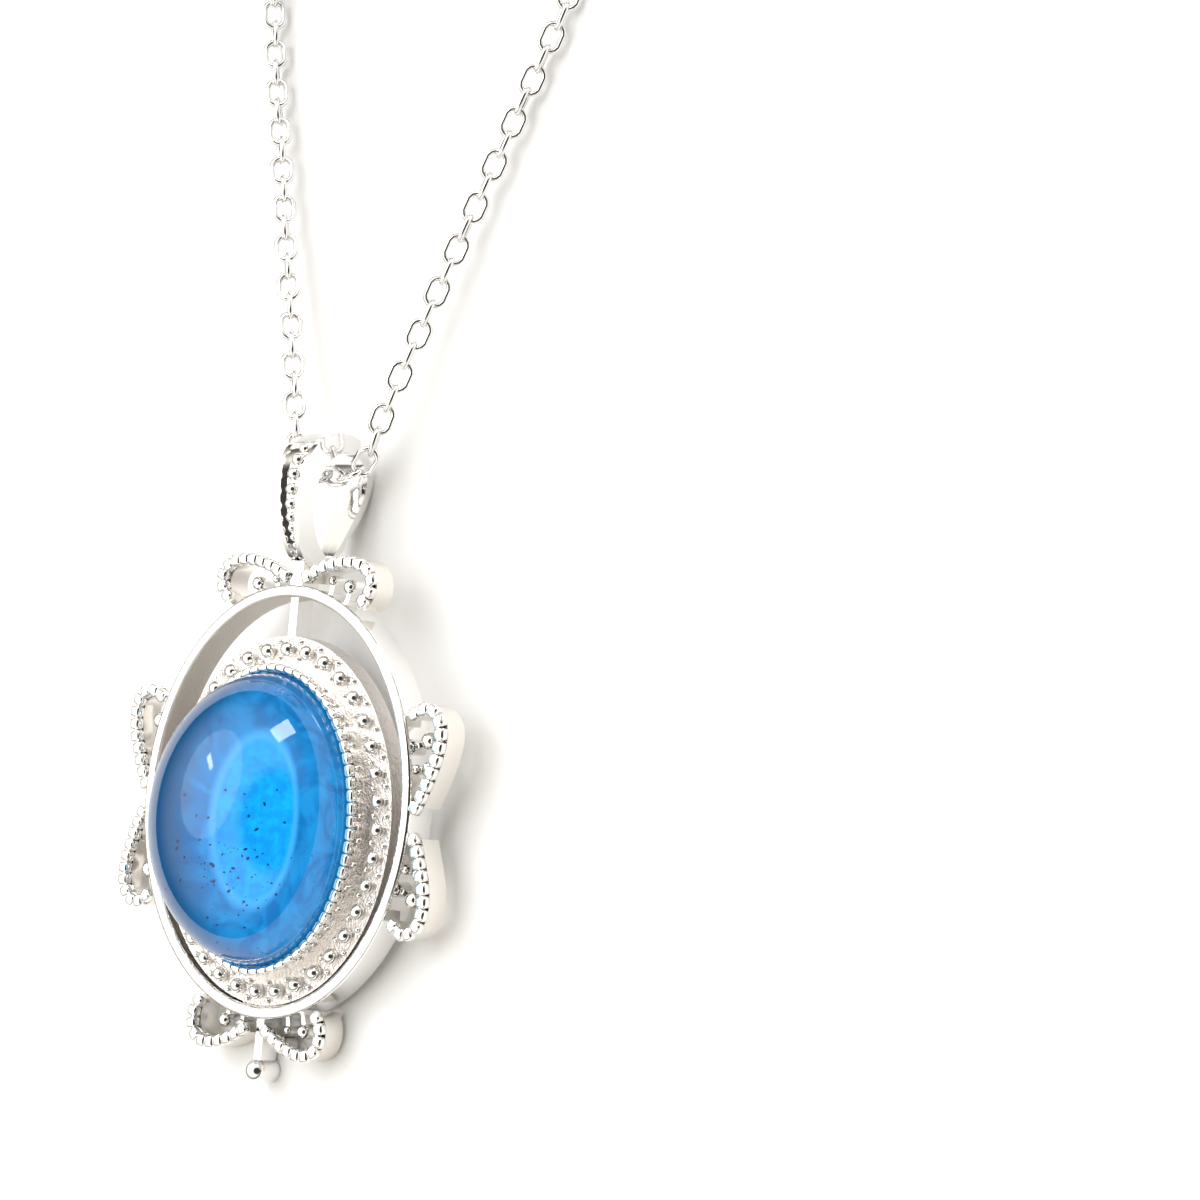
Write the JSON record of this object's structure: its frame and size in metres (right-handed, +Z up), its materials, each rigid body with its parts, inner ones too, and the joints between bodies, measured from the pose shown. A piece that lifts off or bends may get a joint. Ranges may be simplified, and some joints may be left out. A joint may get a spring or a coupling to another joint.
{
  "type": "pendant necklace",
  "caption": "Fine chain necklace with an oval cabochon pendant in a beaded halo and scrolled open frame, lying face up, chain coiled behind.",
  "frame": {"origin": "on the table, under the middle of the pendant's own box (the chain and what is on it left out)", "axes": "+Z up from the table, +Y up the pendant from the drop to the bail, +X to the right as the pendant is looked at"},
  "size_m": [0.0193, 0.0722, 0.007],
  "materials": {
    "polished_silver": "rhodium-plated silver, polished",
    "satin_silver": "rhodium-plated silver, sandblasted",
    "chain_silver": "rhodium-plated silver wire, polished",
    "blue_stone": "polished translucent blue stone"
  },
  "bodies": {
    "chain": {"chain_coil_left": "chain_silver", "chain_coil_right": "chain_silver", "chain_left": "chain_silver", "chain_left_tail": "chain_silver", "chain_right": "chain_silver", "chain_right_tail": "chain_silver", "clasp_body": "polished_silver", "end_ring": "polished_silver", "jump_ring": "polished_silver"},
    "pendant": {"bail_beads": "polished_silver", "bail_foot": "polished_silver", "bail_loop": "polished_silver", "bail_rails": "polished_silver", "bottom_bridge": "satin_silver", "cabochon": "blue_stone", "collet": "polished_silver", "drop_ball": "polished_silver", "drop_stem": "polished_silver", "granules_bottom": "polished_silver", "granules_lower": "polished_silver", "granules_top": "polished_silver", "granules_upper": "polished_silver", "halo_beads": "polished_silver", "halo_granules": "polished_silver", "halo_plate": "satin_silver", "milgrain_bottom_left": "polished_silver", "milgrain_bottom_right": "polished_silver", "milgrain_rim": "polished_silver", "milgrain_side_lower_left": "polished_silver", "milgrain_side_lower_right": "polished_silver", "milgrain_side_upper_left": "polished_silver", "milgrain_side_upper_right": "polished_silver", "milgrain_top_left": "polished_silver", "milgrain_top_right": "polished_silver", "outer_frame": "polished_silver", "scroll_bottom_left": "polished_silver", "scroll_bottom_right": "polished_silver", "scroll_side_lower_left": "polished_silver", "scroll_side_lower_right": "polished_silver", "scroll_side_upper_left": "polished_silver", "scroll_side_upper_right": "polished_silver", "scroll_top_left": "polished_silver", "scroll_top_right": "polished_silver", "stone_seat": "satin_silver", "top_pin": "polished_silver"},
    "gate": {"clasp_gate": "polished_silver"}
  },
  "joints": [
    {"name": "pendant_swing", "type": "hinge", "parent": "chain", "child": "pendant", "pos_m": [0, 0.01141, 0.0016], "axis": [-1, 0, 0], "range_deg": [0, 75]},
    {"name": "gate_slide", "type": "hinge", "parent": "chain", "child": "gate", "pos_m": [-0.0046, 0.0563, 0.0005], "axis": [0, 0, 1], "range_deg": [0, 62]}
  ]
}
